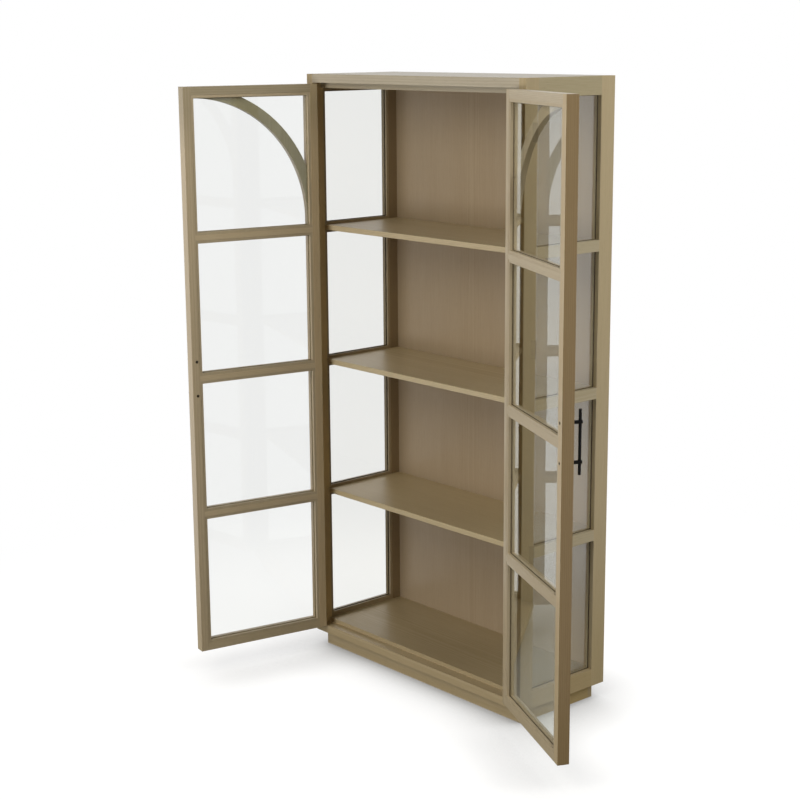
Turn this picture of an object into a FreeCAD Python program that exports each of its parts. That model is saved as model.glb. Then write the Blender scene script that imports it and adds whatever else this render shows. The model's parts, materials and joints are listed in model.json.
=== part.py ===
import FreeCAD, Part
import os
from collections import namedtuple

# A tall display bookcase: a wooden carcass on a plinth, glazed side frames, three fixed shelves,
# and two inset glazed doors with a quarter arch in the top light of each.
# Millimetres. X runs along the width, Y from front to back, Z up. The origin lies on the floor,
# under the middle of the carcass. The doors stand open at the angles given below.

# Carcass
width = 1150.0
depth = 430.0
height = 2250.0
board = 32.0
plinth_height = 58.0
plinth_inset = 30.0
plinth_board = 20.0
floor_board = 16.0
stop_height = 20.0
stop_board = 18.0
back_board = 12.0
back_recess = 3.0
back_rebate = 10.0

# Side frames
front_post_face = 60.0
back_post_face = 66.0
side_top_rail = 64.0
side_bottom_rail = 66.0
side_lip = 17.0

# Shelves
shelf_board = 20.0
shelf_setback = 9.0
shelf_round = 2.0
tongue_length = 8.0
tongue_thickness = 8.0
tongue_end_gap = 0.5

# Doors
door_thickness = 40.0
door_member = 40.0
door_lip = 23.0
light_count = 4
hinge_gap = 2.0
meeting_gap = 3.0
door_top_gap = 3.0
door_bottom_gap = 2.0
stop_gap = 1.0
left_open_angle = 100.5
right_open_angle = 154.4

# Arch in the top light of a door
arch_ring = 40.0
arch_foot = 2.0
arch_setback = 2.0
arch_glass_gap = 0.5

# Glazing and joinery, alike in doors and side frames
glass = 4.0
rebate = 10.0
glass_edge_gap = 2.0
bead_setback = 1.0
tenon_length = 18.0
tenon_thickness = 10.0
tenon_shoulder = 4.0
mortise_end_gap = 1.0

# Hinges
hinge_count = 3
hinge_inset = 200.0
hinge_length = 76.0
leaf_width = 15.0
leaf_thickness = 1.6
leaf_gap = 0.4
barrel_radius = 4.0
barrel_gap = 0.5
pin_offset = 2.0
pin_radius = 2.4
pin_gap = 0.05
knuckle_gap = 0.3
knuckle_end_wall = 3.0

# Handles
bar_radius = 5.0
bar_length = 210.0
bar_reach = 27.0
post_radius = 6.0
post_nose = 2.0
post_spacing = 128.0
screw_radius = 2.0
screw_grip = 12.0
handle_gap = 0.05
screw_head_radius = 3.6
screw_head_height = 3.0
screw_gap = 0.3
counterbore_radius = 4.0
counterbore_depth = 14.0

# How far every cutting solid runs past what it cuts
overrun = 5.0

# Places worked out from the sizes above
inner_x = width / 2 - board
front_y = -depth / 2
back_y = depth / 2
carcass_floor = plinth_height + board
carcass_ceiling = height - board
back_face = back_y - back_recess - back_board
stop_face = front_y + door_thickness + stop_gap
shelf_front = stop_face + shelf_setback
door_low = carcass_floor + door_bottom_gap
door_high = carcass_ceiling - door_top_gap
door_width = inner_x - hinge_gap - meeting_gap / 2
door_middle = (door_low + door_high) / 2
light_height = (door_high - door_low - door_member * (light_count + 1)) / light_count
bar_levels = [door_low + k * (light_height + door_member) for k in range(1, light_count)]
shelf_levels = [level + (door_member - shelf_board) / 2 for level in bar_levels]
pivot_x = inner_x - hinge_gap / 2
pivot_y = front_y - pin_offset

Vector = FreeCAD.Vector
ORIGIN = Vector(0, 0, 0)
ACROSS = Vector(1, 0, 0)
INWARD = Vector(0, 1, 0)
UP = Vector(0, 0, 1)

# A glazed frame lies in its own coordinates: x along its width, y from the outer face inwards, z up.
Frame = namedtuple("Frame", "span near far thickness lip low high low_rail high_rail")
Rail = namedtuple("Rail", "low high glazed_below glazed_above")


def block(x0, x1, y0, y1, z0, z1):
    """A rectangular solid between two values on each axis."""
    return Part.makeBox(x1 - x0, y1 - y0, z1 - z0, Vector(x0, y0, z0))


def rod(radius, length, x, y, z, axis):
    """A round solid that starts at a point and runs along an axis."""
    return Part.makeCylinder(radius, length, Vector(x, y, z), axis)


def mirrored(shape):
    """The same piece on the other side of the bookcase."""
    return shape.mirror(ORIGIN, ACROSS)


def moved(shape, x, y):
    """A copy of a shape, moved level."""
    copy = shape.copy()
    copy.translate(Vector(x, y, 0))
    return copy


def joined(pieces):
    """Overlapping or touching solids made into one clean solid."""
    return pieces[0].fuse(pieces[1:]).removeSplitter()


# Glazed frames

def rails_of(frame):
    """Every crosspiece of a frame from the bottom rail to the top rail."""
    rails = [Rail(frame.low, frame.low + frame.low_rail, False, True)]
    rails += [Rail(level, level + door_member, True, True) for level in bar_levels]
    rails.append(Rail(frame.high - frame.high_rail, frame.high, True, False))
    return rails


def lights_of(frame):
    """Low and high edge of each glazed opening."""
    rails = rails_of(frame)
    return [(below.high, above.low) for below, above in zip(rails, rails[1:])]


def rib_levels(rail):
    """Low and high edge of a crosspiece behind the glass, inside its rebates."""
    return rail.low + rebate * rail.glazed_below, rail.high - rebate * rail.glazed_above


def tenons(frame, rail, end_gap):
    """The stub tenons at both ends of a crosspiece, or their mortises when there is an end gap."""
    low, high = rib_levels(rail)
    reach = rebate + tenon_length + end_gap
    face = (frame.thickness - tenon_thickness) / 2
    far_edge = frame.span - frame.far
    sizes = (face, face + tenon_thickness, low + tenon_shoulder, high - tenon_shoulder)
    return block(frame.near - reach, frame.near, *sizes), block(far_edge, far_edge + reach, *sizes)


def crosspiece(frame, rail):
    """A rail or muntin: a lip in front of the glass, a longer rib behind it, and two tenons."""
    low, high = rib_levels(rail)
    far_edge = frame.span - frame.far
    lip = block(frame.near, far_edge, 0, frame.lip, rail.low, rail.high)
    rib = block(frame.near - rebate, far_edge + rebate, frame.lip, frame.thickness, low, high)
    return joined([lip, rib, *tenons(frame, rail, 0)])


def upright(frame, far_side):
    """A stile or post, rebated along its inner edge for the glass, with a mortise for each crosspiece."""
    far_edge = frame.span - frame.far
    start, end = (far_edge, frame.span) if far_side else (0, frame.near)
    sunk_start, sunk_end = (far_edge - overrun, far_edge + rebate) if far_side else (
        frame.near - rebate, frame.near + overrun)
    body = block(start, end, 0, frame.thickness, frame.low, frame.high)
    sunk = block(sunk_start, sunk_end, frame.lip, frame.thickness + overrun, frame.low - overrun,
                 frame.high + overrun)
    mortises = [tenons(frame, rail, mortise_end_gap)[far_side] for rail in rails_of(frame)]
    return body.cut([sunk, *mortises])


def panes(frame):
    """One pane for each light, with its edges in the rebates."""
    hold = rebate - glass_edge_gap
    start = frame.near - hold
    end = frame.span - frame.far + hold
    return [block(start, end, frame.lip, frame.lip + glass, low - hold, high + hold)
            for low, high in lights_of(frame)]


def beads(frame):
    """Four mitred sticks behind each pane, which fill the rebate and hold the glass."""
    start = frame.near
    end = frame.span - frame.far
    face = frame.lip + glass
    run = INWARD * (frame.thickness - bead_setback - face)
    sticks = []
    for low, high in lights_of(frame):
        sight = [(start, low), (end, low), (end, high), (start, high)]
        seat = [(start - rebate, low - rebate), (end + rebate, low - rebate),
                (end + rebate, high + rebate), (start - rebate, high + rebate)]
        for k in range(len(sight)):
            ring = [sight[k - 1], sight[k], seat[k], seat[k - 1], sight[k - 1]]
            outline = Part.makePolygon([Vector(x, face, z) for x, z in ring])
            sticks.append(Part.Face(outline).extrude(run))
    return sticks


# Door pieces, in the door's own frame

door = Frame(door_width, door_member, door_member, door_thickness, door_lip, door_low, door_high,
             door_member, door_member)
handle_x = door.span - door.far / 2
handle_levels = [door_middle - post_spacing / 2, door_middle + post_spacing / 2]


def arch():
    """A quarter ring that springs from beside the hinge stile and ends under the top rail."""
    low, high = lights_of(door)[-1]
    start = door.near
    end = door.span - door.far
    inner = min(end - start, high - low) - arch_foot
    outer = inner + arch_ring
    spring = high - arch_foot - inner
    back = door_lip - arch_glass_gap
    solids = []
    for radius in (outer, inner):
        disc = rod(radius, back - arch_setback, end, arch_setback, spring, INWARD)
        leg = block(end - radius, end, arch_setback, back, low - overrun, spring)
        solids.append(disc.fuse(leg))
    light = block(start, end, arch_setback, back, low, high)
    return light.common(solids[0]).cut(solids[1]).removeSplitter()


def closing_stile():
    """The closing stile, bored and counterbored from inside for the handle's screws."""
    holes = []
    for level in handle_levels:
        holes.append(rod(screw_radius + screw_gap, door_thickness + overrun, handle_x, -overrun, level,
                         INWARD))
        holes.append(rod(counterbore_radius, counterbore_depth + overrun, handle_x,
                         door_thickness - counterbore_depth, level, INWARD))
    return upright(door, True).cut(holes)


def handle():
    """A round bar carried through two posts that stand on the door's outer face, tapped for the screws."""
    start = door_middle - bar_length / 2
    bar = rod(bar_radius, bar_length, handle_x, -bar_reach, start, UP)
    bore = rod(bar_radius + handle_gap, bar_length, handle_x, -bar_reach, start, UP)
    post_length = bar_reach + bar_radius + post_nose
    solids = [bar]
    for level in handle_levels:
        post = rod(post_radius, post_length, handle_x, -post_length, level, INWARD)
        tap = rod(screw_radius + handle_gap, screw_grip + overrun, handle_x, -screw_grip, level, INWARD)
        solids.append(post.cut([bore, tap]))
    return solids


def handle_screws():
    """Screws whose heads sit on the floor of the counterbores."""
    seat = door_thickness - counterbore_depth
    screws = []
    for level in handle_levels:
        shank = rod(screw_radius, seat + screw_grip, handle_x, -screw_grip, level, INWARD)
        head = rod(screw_head_radius, screw_head_height, handle_x, seat, level, INWARD)
        screws.append(joined([shank, head]))
    return screws


# Hinges, modelled on the left side with the door closed

hinge_step = (door_high - door_low - hinge_inset * 2) / (hinge_count - 1)
hinge_levels = [door_low + hinge_inset + k * hinge_step for k in range(hinge_count)]
plate_start = pivot_y + barrel_radius + barrel_gap
pin_reach = hinge_length / 2 - knuckle_end_wall - pin_gap


def plate(side, level):
    """The flat plate of one leaf; side is -1 on the carcass and 1 on the door."""
    near = -pivot_x + side * leaf_gap / 2
    far = near + side * leaf_thickness
    return block(min(near, far), max(near, far), plate_start, plate_start + leaf_width,
                 level - hinge_length / 2, level + hinge_length / 2)


def knuckle(side, level, low, high):
    """A plate with the half of the barrel between two levels, joined by a short web."""
    flat = plate(side, level)
    barrel = rod(barrel_radius, high - low, -pivot_x, pivot_y, low, UP)
    web = block(flat.BoundBox.XMin, flat.BoundBox.XMax, pivot_y, plate_start, low, high)
    return joined([flat, barrel, web])


def frame_leaf(level):
    """The carcass leaf: the lower half of the barrel, with the pin fixed in it."""
    pin = rod(pin_radius, pin_reach + overrun, -pivot_x, pivot_y, level - overrun, UP)
    return joined([knuckle(-1, level, level - hinge_length / 2, level), pin])


def door_leaf(level):
    """The door leaf: the upper half of the barrel, which turns on the pin and can be lifted off it."""
    bore = rod(pin_radius + pin_gap, pin_reach + pin_gap, -pivot_x, pivot_y, level, UP)
    return knuckle(1, level, level + knuckle_gap, level + hinge_length / 2).cut(bore)


def hinge_cuts(side):
    """What is let into a post or a hinge stile for the barrels and plates."""
    reach_x = barrel_radius + barrel_gap
    reach_z = hinge_length / 2 + barrel_gap
    cuts = []
    for level in hinge_levels:
        cuts.append(block(-pivot_x - reach_x, reach_x - pivot_x, pivot_y, plate_start,
                          level - reach_z, level + reach_z))
        cuts.append(plate(side, level))
    return cuts


# Doors at rest

def door_nodes():
    """The pieces of the left door, closed, by name."""
    names = ("bottom_rail", "lower_muntin", "middle_muntin", "upper_muntin", "top_rail")
    nodes = {name: [crosspiece(door, rail)] for name, rail in zip(names, rails_of(door))}
    nodes["closing_stile"] = [closing_stile()]
    nodes["hinge_stile"] = [upright(door, False)]
    nodes["arch"] = [arch()]
    nodes["glass"] = panes(door)
    nodes["beads"] = beads(door)
    nodes["handle"] = handle()
    nodes["handle_screws"] = handle_screws()
    placed = {name: [moved(solid, hinge_gap - inner_x, front_y) for solid in solids]
              for name, solids in nodes.items()}
    placed["hinge_stile"] = [solid.cut(hinge_cuts(1)) for solid in placed["hinge_stile"]]
    placed["hinge_leaves"] = [door_leaf(level) for level in hinge_levels]
    return placed


def swung(shape, x, angle):
    """A copy of a closed door's piece, turned about its hinge pins."""
    copy = shape.copy()
    copy.rotate(Vector(x, pivot_y, 0), UP, angle)
    return copy


# Side frames

side = Frame(depth, front_post_face, back_post_face, board, side_lip, plinth_height, height,
             side_bottom_rail, side_top_rail)


def on_right(shape):
    """A side frame's piece, turned so that its outer face is the right side of the bookcase."""
    copy = shape.copy()
    copy.rotate(ORIGIN, UP, 90)
    copy.translate(Vector(width / 2, front_y, 0))
    return copy


def tongue(level, end_gap):
    """The tongue at a shelf's right end between the posts, or its groove when there is an end gap."""
    low = level + (shelf_board - tongue_thickness) / 2
    return block(inner_x, inner_x + tongue_length + end_gap, front_y + front_post_face,
                 back_y - back_post_face, low, low + tongue_thickness)


def back_panel_seat():
    """The space of the back panel and the recess behind it, cut from what holds the panel's edges."""
    reach = inner_x + back_rebate
    return block(-reach, reach, back_face, back_y + overrun, carcass_floor - back_rebate,
                 carcass_ceiling + back_rebate)


def side_nodes():
    """The pieces of the right side by name."""
    rails = rails_of(side)
    nodes = {"front_post": [upright(side, False)], "back_post": [upright(side, True)]}
    nodes["side_bottom_rail"] = [crosspiece(side, rails[0])]
    nodes["side_shelf_rails"] = [crosspiece(side, rail) for rail in rails[1:-1]]
    nodes["side_top_rail"] = [crosspiece(side, rails[-1])]
    nodes["side_glass"] = panes(side)
    nodes["side_beads"] = beads(side)
    placed = {name: [on_right(solid) for solid in solids] for name, solids in nodes.items()}
    cuts = [mirrored(cut) for cut in hinge_cuts(-1)]
    placed["front_post"] = [solid.cut(cuts) for solid in placed["front_post"]]
    placed["back_post"] = [solid.cut(back_panel_seat()) for solid in placed["back_post"]]
    placed["side_shelf_rails"] = [solid.cut(tongue(level, tongue_end_gap))
                                  for solid, level in zip(placed["side_shelf_rails"], shelf_levels)]
    return placed


# Carcass between the side frames

def shelf(level):
    """A fixed shelf from behind the doors to the back panel, with a rounded front edge and two tongues."""
    plain = block(-inner_x, inner_x, shelf_front, back_face, level, level + shelf_board)
    front = [edge for edge in plain.Edges if edge.BoundBox.YMax < shelf_front + shelf_round
             and edge.BoundBox.XLength > edge.BoundBox.ZLength]
    right = tongue(level, 0)
    return joined([plain.makeFillet(shelf_round, front), right, mirrored(right)])


def carcass_nodes():
    """The boards of the carcass and the plinth by name."""
    seat = back_panel_seat()
    plinth_x = width / 2 - plinth_inset
    plinth_front = front_y + plinth_inset
    plinth_back = back_y - plinth_inset
    between = (plinth_front + plinth_board, plinth_back - plinth_board, 0, plinth_height)
    reach = inner_x + back_rebate
    nodes = {
        "plinth_front": block(-plinth_x, plinth_x, plinth_front, plinth_front + plinth_board,
                              0, plinth_height),
        "plinth_back": block(-plinth_x, plinth_x, plinth_back - plinth_board, plinth_back,
                             0, plinth_height),
        "plinth_left": block(-plinth_x, plinth_board - plinth_x, *between),
        "plinth_right": block(plinth_x - plinth_board, plinth_x, *between),
        "plinth_brace": block(-plinth_board / 2, plinth_board / 2, *between),
        "bottom_panel": block(-inner_x, inner_x, front_y, back_y, plinth_height, carcass_floor).cut(seat),
        "floor_panel": block(-inner_x, inner_x, stop_face, back_face, carcass_floor,
                             carcass_floor + floor_board),
        "top_panel": block(-inner_x, inner_x, front_y, back_y, carcass_ceiling, height).cut(seat),
        "top_door_stop": block(-inner_x, inner_x, stop_face, stop_face + stop_board,
                               carcass_ceiling - stop_height, carcass_ceiling),
        "back_panel": block(-reach, reach, back_face, back_face + back_board, carcass_floor - back_rebate,
                            carcass_ceiling + back_rebate),
    }
    for name, level in zip(("lower_shelf", "middle_shelf", "upper_shelf"), shelf_levels):
        nodes[name] = shelf(level)
    return {name: [solid] for name, solid in nodes.items()}


nodes = carcass_nodes()
for name, solids in side_nodes().items():
    nodes["right_" + name] = solids
    nodes["left_" + name] = [mirrored(solid) for solid in solids]
nodes["left_hinge_frame_leaves"] = [frame_leaf(level) for level in hinge_levels]
nodes["right_hinge_frame_leaves"] = [mirrored(solid) for solid in nodes["left_hinge_frame_leaves"]]
for name, solids in door_nodes().items():
    nodes["left_door_" + name] = [swung(solid, -pivot_x, -left_open_angle) for solid in solids]
    nodes["right_door_" + name] = [swung(mirrored(solid), pivot_x, right_open_angle) for solid in solids]

os.makedirs("parts", exist_ok=True)
for name, solids in nodes.items():
    shape = solids[0] if len(solids) == 1 else Part.makeCompound(solids)
    shape.exportStep(os.path.join("parts", name + ".step"))
print(len(nodes), "nodes,", sum(len(solids) for solids in nodes.values()), "solids")
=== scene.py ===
import json
import math

import bmesh
import bpy
import numpy as np
from mathutils import Matrix, Vector


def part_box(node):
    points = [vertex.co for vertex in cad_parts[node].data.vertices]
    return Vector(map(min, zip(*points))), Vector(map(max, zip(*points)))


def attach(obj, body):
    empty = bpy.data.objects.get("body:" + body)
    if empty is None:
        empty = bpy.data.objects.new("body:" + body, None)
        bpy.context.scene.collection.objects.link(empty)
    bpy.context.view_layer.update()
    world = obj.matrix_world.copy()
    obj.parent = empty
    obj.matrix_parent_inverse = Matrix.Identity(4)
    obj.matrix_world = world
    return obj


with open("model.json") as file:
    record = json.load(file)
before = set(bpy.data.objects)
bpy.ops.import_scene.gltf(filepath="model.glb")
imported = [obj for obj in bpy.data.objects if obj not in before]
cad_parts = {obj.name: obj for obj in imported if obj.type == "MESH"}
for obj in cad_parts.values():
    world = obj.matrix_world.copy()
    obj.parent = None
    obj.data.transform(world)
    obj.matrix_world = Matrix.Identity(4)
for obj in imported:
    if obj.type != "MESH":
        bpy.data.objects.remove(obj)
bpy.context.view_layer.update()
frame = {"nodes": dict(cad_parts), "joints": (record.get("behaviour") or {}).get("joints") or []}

# Plinth: five oak boards set back under the carcass, glued and screwed at the corners.
# The oak is sawn through and through, washed greige and finished with a matt lacquer.
# Each board is cut from its own place in a log, so no two boards show the same rings.
GRAIN_STRETCH = 26.0
RING_SPACING = 0.0042
HEART_DISTANCE = (0.08, 0.24)
PORE_SHADE = 0.72
PORE_DEPTH = 0.0004
ARRIS_RADIUS = 0.0012
OAK_LIGHT = (187, 173, 147)
OAK_DARK = (168, 152, 123)
# The tone and light of each board is partly its own tone and partly painted light and shade; the plinth's
# ends are painted lighter and warmer than its front and back.
PLINTH_TONE_AND_LIGHT = (1.06, 1.02, 0.92)
PLINTH_END_TONE_AND_LIGHT = (1.14, 1.05, 0.79)
LEVEL, CROSSWAYS, UPRIGHT = 0.0, 90.0, None
logs = np.random.default_rng(11)


def tint(colour, tone_and_light=(1.0, 1.0, 1.0)):
    """A colour given in 0-255 screen values, as a shader's linear values, times a tone and light factor."""
    share = np.asarray(colour) / 255
    linear = np.where(share <= 0.04045, share / 12.92, ((share + 0.055) / 1.055) ** 2.4)
    return (*(linear * tone_and_light).tolist(), 1.0)


def shade(tree, kind, inputs=(), **settings):
    """Adds a shader node. Settings are its properties, inputs are values or the outputs that feed it."""
    made = tree.nodes.new("ShaderNode" + kind)
    for name, value in settings.items():
        setattr(made, name, value)
    for name, value in dict(inputs).items():
        if isinstance(value, bpy.types.NodeSocket):
            tree.links.new(value, made.inputs[name])
        else:
            made.inputs[name].default_value = value
    return made


def weighted(tree, terms):
    """The sum of outputs, each times its weight."""
    total = None
    for output, weight in terms:
        inputs = {0: output, 1: weight, 2: 0.0 if total is None else total}
        total = shade(tree, "Math", inputs, operation="MULTIPLY_ADD").outputs[0]
    return total


def blank(name):
    """An empty material and its tree, with the output node in place."""
    material = bpy.data.materials.new(name)
    material.use_nodes = True
    material.node_tree.nodes.clear()
    return material, material.node_tree, shade(material.node_tree, "OutputMaterial")


def log_place(node, heading):
    """Where the heart of the log runs: a seeded distance and direction beside the board, square to its
    grain."""
    low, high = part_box(node)
    middle = (low + high) / 2
    reach = logs.uniform(*HEART_DISTANCE)
    angle = logs.uniform(0, 2 * math.pi)
    across = Vector((1, 0, 0))
    beside = Vector((0, 1, 0))
    if heading is not None:
        across = Vector((-math.sin(math.radians(heading)), math.cos(math.radians(heading)), 0))
        beside = Vector((0, 0, 1))
    return middle + across * reach * math.cos(angle) + beside * reach * math.sin(angle)


def washed_oak(node, heading, tone_and_light=(1.0, 1.0, 1.0), light=OAK_LIGHT, dark=OAK_DARK, figure=0.24):
    """Oak with rings round the heart of its log, drawn out streaks and fine dark pores along the grain. The
    tone and light factor, partly the board's own tone and partly painted light and shade, lightens, darkens
    or warms the whole board."""
    material, tree, output = blank("oak_" + node)
    turn = (0.0, 0.0, 0.0) if heading is None else (0.0, math.pi / 2, math.radians(heading))
    place = shade(tree, "TexCoord").outputs["Object"]
    timber = shade(tree, "Mapping", {"Vector": place, "Location": log_place(node, heading),
                                     "Rotation": turn, "Scale": (1.0, 1.0, GRAIN_STRETCH)},
                   vector_type="TEXTURE").outputs[0]
    rings = shade(tree, "TexWave", {"Vector": timber, "Scale": math.pi / 10 / RING_SPACING,
                                    "Distortion": 7.0, "Detail": 3.0, "Detail Scale": 0.22,
                                    "Detail Roughness": 0.6},
                  wave_type="RINGS", rings_direction="Z").outputs["Fac"]
    streaks = shade(tree, "TexNoise", {"Vector": timber, "Scale": 230.0, "Detail": 5.0,
                                       "Roughness": 0.62}).outputs["Fac"]
    bands = shade(tree, "TexNoise", {"Vector": timber, "Scale": 26.0, "Detail": 3.0}).outputs["Fac"]
    pores = shade(tree, "TexNoise", {"Vector": timber, "Scale": 760.0, "Detail": 2.0}).outputs["Fac"]
    grain = weighted(tree, [(rings, figure), (streaks, 0.5), (bands, 0.5 - figure)])
    tone = shade(tree, "MapRange", {"Value": grain, "From Min": 0.2, "From Max": 0.8}).outputs[0]
    wood = shade(tree, "MixRGB", {"Fac": tone, "Color1": tint(dark, tone_and_light),
                                  "Color2": tint(light, tone_and_light)}).outputs[0]
    pitted = shade(tree, "MapRange", {"Value": pores, "From Min": 0.6, "From Max": 0.74,
                                      "To Max": 0.3}).outputs[0]
    colour = shade(tree, "MixRGB", {"Fac": pitted, "Color1": wood,
                                    "Color2": tint(PORE_SHADE * np.asarray(dark), tone_and_light)}).outputs[0]
    sheen = shade(tree, "MapRange", {"Value": grain, "From Min": 0.3, "From Max": 0.7, "To Min": 0.42,
                                     "To Max": 0.32}).outputs[0]
    relief = weighted(tree, [(streaks, 0.6), (pitted, -1.0)])
    arris = shade(tree, "Bevel", {"Radius": ARRIS_RADIUS}, samples=4).outputs[0]
    bump = shade(tree, "Bump", {"Strength": 0.25, "Distance": PORE_DEPTH, "Height": relief,
                                "Normal": arris}).outputs[0]
    lacquer = shade(tree, "BsdfPrincipled", {"Base Color": colour, "Roughness": sheen, "Normal": bump,
                                             "Specular IOR Level": 0.5})
    tree.links.new(lacquer.outputs[0], output.inputs["Surface"])
    return material


def dress(node, material):
    """Puts a material on every slot of a node's object."""
    for slot in frame["nodes"][node].material_slots:
        slot.material = material


for board, heading, tone_and_light in (("plinth_front", LEVEL, PLINTH_TONE_AND_LIGHT),
                             ("plinth_back", LEVEL, PLINTH_TONE_AND_LIGHT),
                             ("plinth_left", CROSSWAYS, PLINTH_END_TONE_AND_LIGHT),
                             ("plinth_right", CROSSWAYS, PLINTH_END_TONE_AND_LIGHT),
                             ("plinth_brace", CROSSWAYS, PLINTH_TONE_AND_LIGHT)):
    dress(board, washed_oak(board, heading, tone_and_light))

# Carcass boards: bottom, raised floor, top and the strip that stops the doors at the top.
# They are lipped oak boards with the grain along the width, tongued between the side frames.
# Painted light makes the top lighter and cooler, and painted shade makes the raised floor darker, beside
# the boards' own tone.
for board, tone_and_light in (("bottom_panel", (1.1, 1.06, 0.97)), ("floor_panel", (0.95, 0.92, 0.82)),
                    ("top_panel", (1.1, 1.17, 1.35)), ("top_door_stop", (1.0, 1.05, 1.14))):
    dress(board, washed_oak(board, LEVEL, tone_and_light))

# Shelves: three fixed oak boards with rounded front edges, housed in the side frames' shelf rails.
# Their grain runs along the width too.
# The shelves are made lighter, partly as painted light and partly as their own tone.
for board, tone_and_light in (("lower_shelf", (1.19, 1.16, 1.04)), ("middle_shelf", (1.25, 1.24, 1.17)),
                    ("upper_shelf", (1.21, 1.19, 1.13))):
    dress(board, washed_oak(board, LEVEL, tone_and_light))

# Back panel: one sheet faced with oak veneer, upright grain, a shade pinker than the solid wood.
# It lies in a rebate all round and is held by small screws from behind.
VENEER_LIGHT = (173, 156, 133)
VENEER_DARK = (157, 139, 116)
# The veneer's tone and light darkens it a little, partly as painted shade inside the case.
VENEER_TONE_AND_LIGHT = (0.95, 0.93, 0.89)
dress("back_panel", washed_oak("back_panel", UPRIGHT, VENEER_TONE_AND_LIGHT, VENEER_LIGHT, VENEER_DARK))

# Side frames: two posts and five rails a side, morticed and tenoned, rebated for the panes.
# Posts have upright grain, and rails run from front to back. The left frame is painted darker and the
# right lighter, some boards carry their own tone and painted light and shade, and the inner faces of the
# left posts carry painted light on the front post and painted shade on the back post.
RIGHTWARDS = Vector((1.0, 0.0, 0.0))
FACE_DEPTH = 0.0012
SIDE_TONE_AND_LIGHT = {"left": (0.92, 0.89, 0.84), "right": (1.12, 1.15, 1.14)}
SIDE_BOARD_TONE_AND_LIGHT = {"left_front_post": (1.05, 1.0, 0.88),
                   "left_back_post": (0.85, 0.82, 0.77),
                   "right_front_post": (1.02, 0.98, 0.86),
                   "right_back_post": (1.16, 1.13, 1.01),
                   "right_side_bottom_rail": (1.13, 1.07, 0.91),
                   "right_side_top_rail": (0.96, 0.98, 0.89)}
# Painted light on the inner face of the left front post, and painted shade on that of the left back post.
INNER_PAINTED_LIGHT_AND_SHADE = {"left_front_post": (1.35, 1.35, 1.25), "left_back_post": (0.79, 0.73, 0.66)}


def paint_light_and_shade(material, mask, tone):
    """Multiplies a wood's colour by a tone of painted light or shade where the mask is 1."""
    tree = material.node_tree
    base = tree.nodes["Principled BSDF"].inputs["Base Color"]
    mixed = shade(tree, "MixRGB", {"Fac": mask, "Color1": base.links[0].from_socket,
                                   "Color2": (*tone, 1.0)}, blend_type="MULTIPLY")
    tree.links.new(mixed.outputs[0], base)


def outer_face(node, material, outwards, depth=FACE_DEPTH):
    """1 on the face of a node that lies farthest out in a direction and for a third of a depth below it,
    then falling to 0 at that depth."""
    tree = material.node_tree
    reach = max(corner.co.dot(outwards) for corner in frame["nodes"][node].data.vertices)
    place = shade(tree, "TexCoord").outputs["Object"]
    level = shade(tree, "VectorMath", {0: place, 1: outwards},
                  operation="DOT_PRODUCT").outputs["Value"]
    return shade(tree, "MapRange", {"Value": level, "From Min": reach - depth,
                                    "From Max": reach - depth / 3}).outputs[0]


for hand, tone_and_light in SIDE_TONE_AND_LIGHT.items():
    for kind, heading in (("_front_post", UPRIGHT),
                          ("_back_post", UPRIGHT),
                          ("_side_bottom_rail", CROSSWAYS),
                          ("_side_shelf_rails", CROSSWAYS),
                          ("_side_top_rail", CROSSWAYS)):
        board = hand + kind
        oak = washed_oak(board, heading, SIDE_BOARD_TONE_AND_LIGHT.get(board, tone_and_light))
        dress(board, oak)
        if board in INNER_PAINTED_LIGHT_AND_SHADE:
            paint_light_and_shade(oak, outer_face(board, oak, RIGHTWARDS), INNER_PAINTED_LIGHT_AND_SHADE[board])

# Glazing beads: mitred oak sticks round the inside of every pane, pinned into the rebates.
# They are planed fine, and their grain is too short to follow, so it shows only as fine streaks.
# The doors are painted lighter and the muntins carry a painted sheen, beside the oak's own tone.
DOOR_TONE_AND_LIGHT = (1.17, 1.17, 1.2)
BEAD_FIGURE = 0.05
for beads, tone_and_light in (("left_side_beads", SIDE_TONE_AND_LIGHT["left"]),
                    ("right_side_beads", SIDE_TONE_AND_LIGHT["right"]),
                    ("left_door_beads", DOOR_TONE_AND_LIGHT),
                    ("right_door_beads", DOOR_TONE_AND_LIGHT)):
    dress(beads, washed_oak(beads, UPRIGHT, tone_and_light, figure=BEAD_FIGURE))

# Door frames: two stiles, a top and a bottom rail and three muntins, morticed and tenoned, and the arch in
# the top light, one sawn piece let in outside the glass. The doors are painted lighter, partly their own
# tone, and the muntins carry a painted sheen. Painted shade darkens the left door towards its top, the
# right closing stile's edge in a browner tone and the wood round the handles' screws, and painted light
# lifts the left hinge stile's sight edge and the inner face of the left arch.
UPWARDS = Vector((0.0, 0.0, 1.0))
MUNTIN_TONE_AND_SHEEN = (1.37, 1.36, 1.37)
DOOR_BOARD_TONE_AND_LIGHT = {"left_door_hinge_stile": (1.33, 1.27, 1.19),
                   "left_door_closing_stile": (1.26, 1.25, 1.28),
                   "left_door_bottom_rail": (1.26, 1.26, 1.27),
                   "left_door_lower_muntin": MUNTIN_TONE_AND_SHEEN,
                   "left_door_middle_muntin": MUNTIN_TONE_AND_SHEEN,
                   "left_door_upper_muntin": MUNTIN_TONE_AND_SHEEN,
                   "right_door_top_rail": (1.24, 1.28, 1.42),
                   "right_door_closing_stile": (1.28, 1.22, 1.15)}
# Painted light on the left hinge stile's sight edge.
SIGHT_EDGE_PAINTED_LIGHT = (1.2, 1.2, 1.25)
# Painted light on the inner face of the left arch.
ARCH_PAINTED_LIGHT = (1.36, 1.52, 1.45)
# Painted shade over the top of the left door.
SHADED_TOP_BOARDS = ("left_door_hinge_stile", "left_door_closing_stile", "left_door_top_rail")
TOP_PAINTED_SHADE = (0.74, 0.75, 0.74)
TOP_SHADE_DEPTH = 0.24
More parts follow.
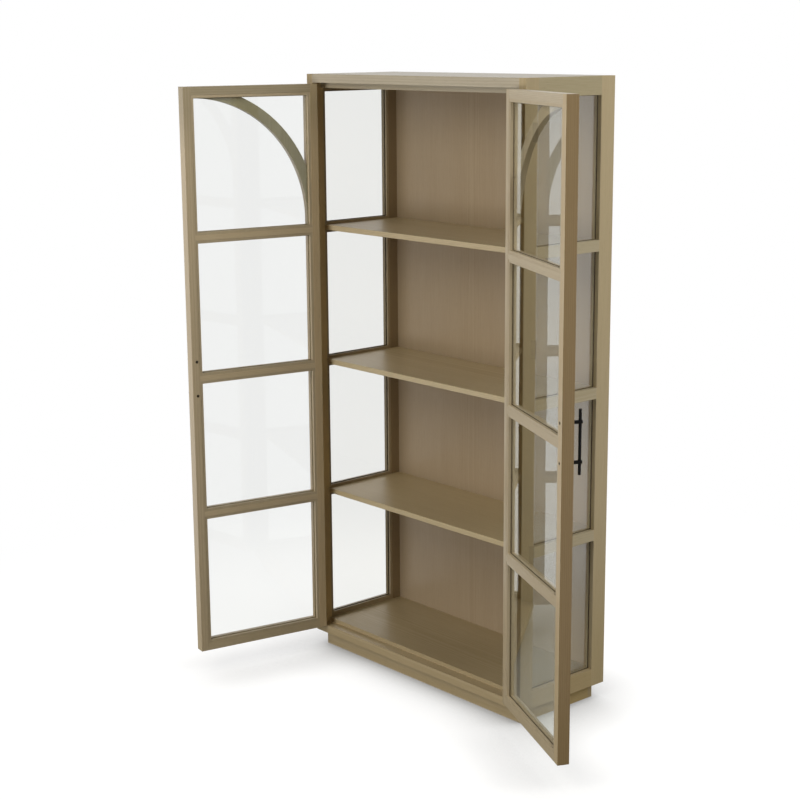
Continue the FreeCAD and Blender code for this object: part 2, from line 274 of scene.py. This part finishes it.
# Painted shade along the right closing stile's edge, in a darker, browner tone.
CLOSING_EDGE_PAINTED_SHADE = (0.58, 0.51, 0.4)
# Painted shade in the bores round the handles' screws.
BORE_PAINTED_SHADE = (0.1, 0.08, 0.06)
BORE_SHADE_RADIUS = 0.0056


def bore_shade(material, point, axis):
    """1 in the painted shade of the bore round a screw, whose axis goes through a point, and 0 outside it.
    """
    tree = material.node_tree
    place = shade(tree, "TexCoord").outputs["Object"]
    beside = shade(tree, "VectorMath", {0: place, 1: point}, operation="SUBTRACT").outputs[0]
    across = shade(tree, "VectorMath", {0: beside, 1: axis}, operation="CROSS_PRODUCT").outputs[0]
    radius = shade(tree, "VectorMath", {0: across}, operation="LENGTH").outputs["Value"]
    return shade(tree, "Math", {0: radius, 1: BORE_SHADE_RADIUS}, operation="LESS_THAN").outputs[0]


closed_turn = {joint["child"]: max(joint["range_deg"], key=abs) for joint in frame["joints"]}
for door, turn in closed_turn.items():
    opened = Matrix.Rotation(math.radians(-turn), 3, "Z")
    closing = opened @ (RIGHTWARDS if door == "left_door" else -RIGHTWARDS)
    inwards = opened @ Vector((0.0, 1.0, 0.0))
    for kind, heading in (("_hinge_stile", UPRIGHT),
                          ("_arch", UPRIGHT),
                          ("_bottom_rail", -turn),
                          ("_lower_muntin", -turn),
                          ("_middle_muntin", -turn),
                          ("_upper_muntin", -turn),
                          ("_top_rail", -turn),
                          ("_closing_stile", UPRIGHT)):
        board = door + kind
        oak = washed_oak(board, heading, DOOR_BOARD_TONE_AND_LIGHT.get(board, DOOR_TONE_AND_LIGHT))
        dress(board, oak)
        if board == "left_door_hinge_stile":
            paint_light_and_shade(oak, outer_face(board, oak, closing), SIGHT_EDGE_PAINTED_LIGHT)
        if board == "left_door_arch":
            paint_light_and_shade(oak, outer_face(board, oak, inwards), ARCH_PAINTED_LIGHT)
        if board in SHADED_TOP_BOARDS:
            paint_light_and_shade(oak, outer_face(board, oak, UPWARDS, TOP_SHADE_DEPTH), TOP_PAINTED_SHADE)
        if board == "right_door_closing_stile":
            paint_light_and_shade(oak, outer_face(board, oak, closing), CLOSING_EDGE_PAINTED_SHADE)
        if kind == "_closing_stile":
            corners = frame["nodes"][door + "_handle_screws"].data.vertices
            screws = np.array([corner.co for corner in corners])
            upper = screws[:, 2] > screws[:, 2].mean()
            for screw in (screws[upper], screws[~upper]):
                middle = (screw.min(0) + screw.max(0)) / 2
                paint_light_and_shade(oak, bore_shade(oak, middle, inwards), BORE_PAINTED_SHADE)

# Panes: clear float glass, 4 mm, faintly green-grey, with sharp reflections on both faces. It is a
# little wavy, and the right door's panes have settled out of true in their rebates. Lamps shine
# through without the bright spots that a bent beam would draw, weakly on the right.
GLASS_WAVES = 0.0016


def clear_glass(name, hue, bend, lamp_share, settled):
    """Glass of a hue and refractive index, with the share of lamplight that each face lets through and a
    tilt about Z."""
    material, tree, output = blank(name)
    place = shade(tree, "TexCoord").outputs["Object"]
    ripple = shade(tree, "TexNoise", {"Vector": place, "Scale": 3.5, "Detail": 1.0}).outputs["Color"]
    wave = shade(tree, "VectorMath", {0: ripple, 1: (0.5, 0.5, 0.5)}, operation="SUBTRACT").outputs[0]
    facing = shade(tree, "NewGeometry").outputs["Normal"]
    beside = shade(tree, "VectorMath", {0: (0.0, 0.0, settled), 1: facing},
                   operation="CROSS_PRODUCT").outputs[0]
    tilted = shade(tree, "VectorMath", {0: facing, 1: beside}, operation="ADD").outputs[0]
    bent = shade(tree, "VectorMath", {0: wave, 1: (GLASS_WAVES,) * 3, 2: tilted},
                 operation="MULTIPLY_ADD").outputs[0]
    normal = shade(tree, "VectorMath", {0: bent}, operation="NORMALIZE").outputs[0]
    pane = shade(tree, "BsdfPrincipled", {"Base Color": tint(hue), "Roughness": 0.0, "IOR": bend,
                                          "Transmission Weight": 1.0, "Normal": normal})
    open_pane = shade(tree, "BsdfTransparent", {"Color": (lamp_share, lamp_share, lamp_share, 1.0)})
    path = shade(tree, "LightPath")
    soft = shade(tree, "Math", {0: path.outputs["Is Shadow Ray"], 1: path.outputs["Is Diffuse Ray"]},
                 operation="MAXIMUM").outputs[0]
    mixed = shade(tree, "MixShader", {0: soft, 1: pane.outputs[0], 2: open_pane.outputs[0]})
    tree.links.new(mixed.outputs[0], output.inputs["Surface"])
    return material


for panes, hue, bend, lamp_share, settled in (("left_side_glass", (241, 242, 240), 1.5, 0.93, 0.0),
                                              ("right_side_glass", (240, 243, 240), 1.68, 0.55, 0.0),
                                              ("left_door_glass", (241, 242, 241), 1.36, 0.77, 0.0),
                                              ("right_door_glass", (242, 244, 239), 1.53, 0.97, -0.0062)):
    dress(panes, clear_glass(panes, hue, bend, lamp_share, settled))

# Glazing seal: a thin cove of sealant round every pane, inside and outside, run in after glazing. The panes
# go 8 mm under the wood, so the cove follows the sight line. Behind an arch it is only inside.
PANE_COVER = 0.008
COVE = 0.0022
TOGETHER = 1e-6
COVE_SECTION = COVE * np.array([[-0.1, 0.06], [-0.1, 1.0], [0.3, 0.36], [1.0, 0.06]])


def closed_pose(body):
    """How a body turns about its hinge pins, from rest to where its door is closed."""
    for joint in frame["joints"]:
        if joint["child"] == body:
            pivot = Matrix.Translation(joint["pos_m"])
            return pivot @ Matrix.Rotation(math.radians(closed_turn[body]), 4, "Z") @ pivot.inverted()
    return Matrix.Identity(4)


def shells(name, points, material, body, endless):
    """A piece of closed shells. points[shell, station, place] is a section carried along a path: sections
    close on themselves, and so do the stations of an endless path, while other paths run out to a line.
    Points that fall together are made one, and all faces turn outwards."""
    number = np.arange(points[..., 0].size).reshape(points.shape[:3])
    onward = np.roll(number, -1, 1)
    quads = np.stack([number, onward, np.roll(onward, -1, 2), np.roll(number, -1, 2)], -1)
    quads = quads if endless else quads[:, :-1]
    mesh = bpy.data.meshes.new(name)
    mesh.from_pydata(points.reshape(-1, 3).tolist(), [], quads.reshape(-1, 4).tolist())
    skin = bmesh.new()
    skin.from_mesh(mesh)
    bmesh.ops.remove_doubles(skin, verts=skin.verts, dist=TOGETHER)
    bmesh.ops.recalc_face_normals(skin, faces=skin.faces)
    skin.to_mesh(mesh)
    skin.free()
    mesh.materials.append(material)
    piece = bpy.data.objects.new(name, mesh)
    bpy.context.scene.collection.objects.link(piece)
    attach(piece, body)
    return piece


def coves(panes, shut, wide, deep):
    """The cove's section carried round the sight line of each pane, on both faces: [pane, face, corner,
    place]. At a corner the section lies along the mitre, and the faces run from the outside inwards."""
    points = np.array([shut @ corner.co for corner in frame["nodes"][panes].data.vertices])
    low, high = points.min(0), points.max(0)
    levels = np.unique(points[:, 2].round(4)).reshape(-1, 2)
    outwards = np.sign(low[deep] + high[deep])
    faces = np.array([low[deep], high[deep]])[::-1 if outwards > 0 else 1]
    hand = np.array([1, -1, -1, 1])
    rise = np.array([1, 1, -1, -1])
    run, stand = COVE_SECTION.T
    ring = np.zeros((len(levels), 2, 4, 4, 3))
    jamb = np.where(hand > 0, low[wide] + PANE_COVER, high[wide] - PANE_COVER)
    ring[..., wide] = jamb[:, None] + np.outer(hand, run)
    edge = np.where(rise > 0, levels[:, :1] + PANE_COVER, levels[:, 1:] - PANE_COVER)
    ring[..., 2] = (edge[..., None] + np.outer(rise, run))[:, None]
    ring[..., deep] = (faces[:, None] + np.outer([outwards, -outwards], stand))[None, :, None]
    return ring


def sealant(name, dark, light):
    """A skinned-over sealant, smeared between two tones."""
    material, tree, output = blank(name)
    place = shade(tree, "TexCoord").outputs["Object"]
    smear = shade(tree, "TexNoise", {"Vector": place, "Scale": 140.0, "Detail": 2.0}).outputs["Fac"]
    tone = shade(tree, "MixRGB", {"Fac": smear, "Color1": tint(dark), "Color2": tint(light)}).outputs[0]
    skinned = shade(tree, "BsdfPrincipled", {"Base Color": tone, "Roughness": 0.55})
    tree.links.new(skinned.outputs[0], output.inputs["Surface"])
    return material


# The left door's sealant is painted light, as light as the lit beads round it; the others are dark.
umber = sealant("umber_sealant", (76, 65, 45), (100, 87, 64))
seal = {"left_side": sealant("dark_sealant", (52, 43, 28), (74, 62, 42)),
        "right_side": umber,
        "left_door": sealant("brown_sealant", (138, 125, 98), (158, 144, 115)),
        "right_door": umber}
for frame_name in ("left_side", "right_side"):
    rings = coves(frame_name + "_glass", Matrix.Identity(4), 1, 0)
    shells(frame_name + "_seal", rings.reshape(-1, 4, 4, 3), seal[frame_name], "cabinet", True)
for door in closed_turn:
    shut = closed_pose(door)
    rings = coves(door + "_glass", shut, 0, 1)
    rings = np.concatenate([rings[:, 1], rings[:-1, 0]])
    opened = np.array(shut.inverted())
    shells(door + "_seal", rings @ opened[:3, :3].T + opened[:3, 3], seal[door], door, True)

# Handles: round steel bars through two posts, powder coated satin black, and their screws.
# The coat has a fine orange-peel, which breaks up its gloss.
black, tree, output = blank("satin_black")
place = shade(tree, "TexCoord").outputs["Object"]
peel = shade(tree, "TexNoise", {"Vector": place, "Scale": 900.0, "Detail": 2.0}).outputs["Fac"]
gloss = shade(tree, "MapRange", {"Value": peel, "To Min": 0.34, "To Max": 0.5}).outputs[0]
bump = shade(tree, "Bump", {"Strength": 0.15, "Distance": 0.0002, "Height": peel}).outputs[0]
coat = shade(tree, "BsdfPrincipled", {"Base Color": tint((9, 7, 6)), "Roughness": gloss, "Normal": bump,
                                      "Specular IOR Level": 0.11})
tree.links.new(coat.outputs[0], output.inputs["Surface"])
for door in closed_turn:
    dress(door + "_handle", black)
    dress(door + "_handle_screws", black)

# Hinges: lift-off butt hinges in bronzed steel, let flush into the posts and the hinge stiles.
# The bronzing is rubbed, so its tone and gloss wander a little along the plates.
bronze, tree, output = blank("bronzed_steel")
place = shade(tree, "TexCoord").outputs["Object"]
rub = shade(tree, "Mapping", {"Vector": place, "Scale": (900.0, 900.0, 40.0)}).outputs[0]
brushed = shade(tree, "TexNoise", {"Vector": rub, "Scale": 1.0, "Detail": 3.0}).outputs["Fac"]
metal = shade(tree, "MixRGB", {"Fac": brushed, "Color1": tint((112, 98, 76)),
                               "Color2": tint((160, 143, 116))}).outputs[0]
gloss = shade(tree, "MapRange", {"Value": brushed, "To Min": 0.28, "To Max": 0.44}).outputs[0]
plate = shade(tree, "BsdfPrincipled", {"Base Color": metal, "Metallic": 1.0, "Roughness": gloss})
tree.links.new(plate.outputs[0], output.inputs["Surface"])
for leaves in ("left_hinge_frame_leaves", "right_hinge_frame_leaves", "left_door_hinge_leaves",
               "right_door_hinge_leaves"):
    dress(leaves, bronze)

# Hinge screws: three countersunk steel screws in each leaf, staggered, with slotted heads nearly flush.
# They stand so little proud that the two leaves still close on each other.
HINGE_LEVELS = (0.292, 1.1535, 2.015)
LEAF_FREE_FACE = 0.542
LEAF_GAP = 0.0004
LEAF_SCREWS = ((-0.2075, -0.026), (-0.2015, 0.0), (-0.2075, 0.026))
HINGE_HEAD = {"radius": 0.0026, "rise": 0.00014, "slot": 0.0008}
HEAD_STATIONS = np.linspace(-1, 1, 11)
HEAD_SHARES = np.array([0.0, 0.0, 0.35, 0.7, 1.0])
PART_LENGTHS = np.array([1.0, 1.0, 0.999])
SLOT_FLOOR = 0.3


def slotted_heads(places, facing, radius, rise, slot):
    """Domed screw heads at places, turned every way: [head and part, station, place]. Their height is the
    rise times 1 - (r / radius)^2. A head is two halves beside its slot and the slot's floor."""
    along = HEAD_STATIONS[:, None] * radius * PART_LENGTHS[:, None, None]
    half = np.sqrt(np.maximum(radius ** 2 - along ** 2, 0))
    start = np.stack([np.minimum(slot / 2, half[0]), np.minimum(slot / 2, half[1]), -half[2]])
    across = start + (half - start) * HEAD_SHARES
    height = rise * (1 - (across ** 2 + along ** 2) / radius ** 2).clip(0)
    height[2] = np.minimum(height[2], SLOT_FLOOR * rise)
    height[..., 0] = 0
    height[..., -1] = 0
    across[1] *= -1
    turn = logs.uniform(0, math.pi, len(places))[:, None, None, None]
    level = np.broadcast_to(along, across.shape)
    first = across * np.cos(turn) - level * np.sin(turn)
    second = across * np.sin(turn) + level * np.cos(turn)
    lift = np.broadcast_to(height, first.shape)
    facing = np.asarray(facing, dtype=float)
    upwards = np.array(UPWARDS)
    sideways = np.cross(upwards, facing)
    shape = first[..., None] * sideways + second[..., None] * upwards + lift[..., None] * facing
    return (shape + np.asarray(places)[:, None, None, None]).reshape(-1, *shape.shape[2:])


spots = [(along, level + rise) for level in HINGE_LEVELS for along, rise in LEAF_SCREWS]
for hand, side in (("left", -1), ("right", 1)):
    on_post = [(side * (LEAF_FREE_FACE + LEAF_GAP / 2), *spot) for spot in spots]
    on_stile = [(side * (LEAF_FREE_FACE - LEAF_GAP / 2), *spot) for spot in spots]
    heads = slotted_heads(on_post, (-side, 0, 0), **HINGE_HEAD)
    shells(hand + "_post_hinge_screws", heads, bronze, "cabinet", False)
    door = hand + "_door"
    opened = np.array(closed_pose(door).inverted())
    heads = slotted_heads(on_stile, (side, 0, 0), **HINGE_HEAD) @ opened[:3, :3].T + opened[:3, 3]
    shells(door + "_hinge_screws", heads, bronze, door, False)

# Back screws: domed steel screws that hold the back panel, round its edge in the rebate and along the
# middle of each shelf.
BACK_SCREW_GAP = 0.3
BACK_SCREW_INSET = 0.005
BACK_HEAD = {"radius": 0.0038, "rise": 0.0014, "slot": 0.0009}


def screw_row(start, end):
    """Even places from one edge of the back panel to the other, about a screw gap apart."""
    count = round((end - start) / BACK_SCREW_GAP) + 1
    return np.linspace(start + BACK_SCREW_INSET, end - BACK_SCREW_INSET, count)


low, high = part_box("back_panel")
sides = screw_row(low.z, high.z)
across = screw_row(low.x, high.x)
spots = [(x, z) for x in across[[0, -1]] for z in sides]
spots += [(x, z) for z in sides[[0, -1]] for x in across[1:-1]]
for shelf in ("lower_shelf", "middle_shelf", "upper_shelf"):
    under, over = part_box(shelf)
    spots += [(x, (under.z + over.z) / 2) for x in across[1:-1]]
heads = slotted_heads([(x, high.y, z) for x, z in spots], (0, 1, 0), **BACK_HEAD)
shells("back_panel_screws", heads, bronze, "cabinet", False)

# Floor: a pale seamless sweep under the bookcase. Its glow, which only the camera, mirrors and glass
# see, brings it up to white. The glow dims close to the wood, so a soft contact shadow stays, and in
# mirrors the near floor is dim and olive.
WHITE = (1.0, 1.0, 1.0, 1.0)
FLOOR_REACH = 30.0
FLOOR_TONE = 0.25
FLOOR_GLOW = 0.94
FLOOR_MIRRORED = 0.14
MIRRORED_HUE = (1.0, 0.9, 0.4, 1.0)
SHADOW_REACH = 0.3
SWEEP_NEAR, SWEEP_FAR = 1.0, 2.6


def seen_directly(tree, mirrored=1.0):
    """1 for rays from the camera or through glass, a share for rays off a mirror, and 0 for all others."""
    path = shade(tree, "LightPath").outputs
    straight = shade(tree, "Math", {0: path["Is Camera Ray"], 1: path["Is Transmission Ray"]},
                     operation="MAXIMUM").outputs[0]
    off_mirror = shade(tree, "Math", {0: path["Is Glossy Ray"], 1: mirrored},
                       operation="MULTIPLY").outputs[0]
    return shade(tree, "Math", {0: straight, 1: off_mirror}, operation="MAXIMUM").outputs[0]


edge = np.array([-FLOOR_REACH, FLOOR_REACH])
grid = np.stack(np.meshgrid(edge, edge, [0.0], indexing="ij"), axis=-1).reshape(-1, 3)
sweep = bpy.data.meshes.new("floor")
sweep.from_pydata(grid.tolist(), [], [(0, 2, 3, 1)])
floor = bpy.data.objects.new("floor", sweep)
bpy.context.scene.collection.objects.link(floor)
paper, tree, output = blank("pale_floor")
path = shade(tree, "LightPath").outputs
mirror = shade(tree, "Math", {0: path["Is Glossy Ray"], 1: path["Is Transmission Ray"]},
               operation="SUBTRACT", use_clamp=True).outputs[0]
tone = shade(tree, "MapRange", {"Value": mirror, "To Min": FLOOR_TONE,
                                "To Max": FLOOR_TONE * FLOOR_MIRRORED}).outputs[0]
matt = shade(tree, "BsdfDiffuse", {"Color": tone})
shown = seen_directly(tree, FLOOR_MIRRORED)
contact = shade(tree, "AmbientOcclusion", {"Distance": SHADOW_REACH}, samples=8).outputs["AO"]
lift = shade(tree, "Math", {0: shown, 1: contact}, operation="MULTIPLY").outputs[0]
lift = shade(tree, "Math", {0: lift, 1: FLOOR_GLOW}, operation="MULTIPLY").outputs[0]
hue = shade(tree, "MixRGB", {"Fac": mirror, "Color1": WHITE, "Color2": MIRRORED_HUE}).outputs[0]
glow = shade(tree, "Emission", {"Color": hue, "Strength": lift})
near = shade(tree, "AddShader", {0: matt.outputs[0], 1: glow.outputs[0]})
place = shade(tree, "TexCoord").outputs["Object"]
radius = shade(tree, "VectorMath", {0: place}, operation="LENGTH").outputs["Value"]
away = shade(tree, "MapRange", {"Value": radius, "From Min": SWEEP_NEAR, "From Max": SWEEP_FAR},
             interpolation_type="SMOOTHSTEP").outputs[0]
white = shade(tree, "Emission", {"Strength": seen_directly(tree)})
both = shade(tree, "MixShader", {0: away, 1: near.outputs[0], 2: white.outputs[0]})
tree.links.new(both.outputs[0], output.inputs["Surface"])
sweep.materials.append(paper)

# Light: soft boxes all round. The strongest stand low in front and behind on both sides.
# The background is plain white where it is seen directly.
FILL = 0.025
AIM = Vector((0.0, 0.0, 1.1))
SOFT_BOXES = (("front_left", (-2.6, -5.2, 3.6), 2.6, 23.0, (1.0, 0.97, 0.91)),
              ("front_low", (0.3, -6.0, 0.9), 2.6, 155.0, (1.0, 0.99, 0.97)),
              ("front_high", (0.2, -3.4, 3.4), 1.6, 41.0, (1.0, 0.95, 0.78)),
              ("left", (-3.6, -0.6, 2.4), 1.6, 15.0, (1.0, 0.96, 0.96)),
              ("left_back", (-4.6, 3.2, 3.0), 2.6, 124.0, (1.0, 1.0, 1.0)),
              ("right_back", (4.6, 3.2, 3.0), 2.6, 116.0, (1.0, 0.99, 0.97)),
              ("right", (5.6, 0.3, 1.3), 2.6, 13.0, (1.0, 0.81, 0.2)),
              ("right_top", (3.4, 0.5, 4.8), 2.6, 58.0, (1.0, 0.99, 0.91)))
for name, spot, side, watts, colour in SOFT_BOXES:
    lamp = bpy.data.lights.new(name, "AREA")
    lamp.shape = "SQUARE"
    lamp.size = side
    lamp.energy = watts
    lamp.color = colour
    box = bpy.data.objects.new(name, lamp)
    box.location = spot
    box.rotation_euler = (AIM - Vector(spot)).to_track_quat("-Z", "Y").to_euler()
    box.visible_camera = box.visible_glossy = box.visible_transmission = False
    bpy.context.scene.collection.objects.link(box)
world = bpy.data.worlds.new("studio")
bpy.context.scene.world = world
world.use_nodes = True
tree = world.node_tree
tree.nodes.clear()
level = shade(tree, "MapRange", {"Value": seen_directly(tree), "To Min": FILL, "To Max": 1.0}).outputs[0]
sky = shade(tree, "Background", {"Color": WHITE, "Strength": level})
tree.links.new(sky.outputs[0], shade(tree, "OutputWorld").inputs["Surface"])

# Camera: at the photograph's viewing angle and distance, level but for a slight roll.
# The values come from edges and corners of the bookcase that were measured in the photograph.
VIEW_AZIMUTH, VIEW_ELEVATION, VIEW_ROLL = (math.radians(a) for a in (48.918, 12.372, -0.438))
VIEW_TARGET = Vector((-0.3048, 0.0, 1.0109))
VIEW_DISTANCE = 6.412
VIEW_LENS = 74.62
back = Vector((math.sin(VIEW_AZIMUTH) * math.cos(VIEW_ELEVATION),
               -math.cos(VIEW_AZIMUTH) * math.cos(VIEW_ELEVATION), math.sin(VIEW_ELEVATION)))
right = Vector((math.cos(VIEW_AZIMUTH), math.sin(VIEW_AZIMUTH), 0.0))
axes = Matrix((right, back.cross(right), back)).transposed() @ Matrix.Rotation(VIEW_ROLL, 3, "Z")
lens = bpy.data.cameras.new("camera")
lens.lens = VIEW_LENS
camera = bpy.data.objects.new("camera", lens)
camera.matrix_world = Matrix.Translation(VIEW_TARGET + back * VIEW_DISTANCE) @ axes.to_4x4()
bpy.context.scene.collection.objects.link(camera)
bpy.context.scene.camera = camera
bpy.context.scene.view_settings.view_transform = "Standard"
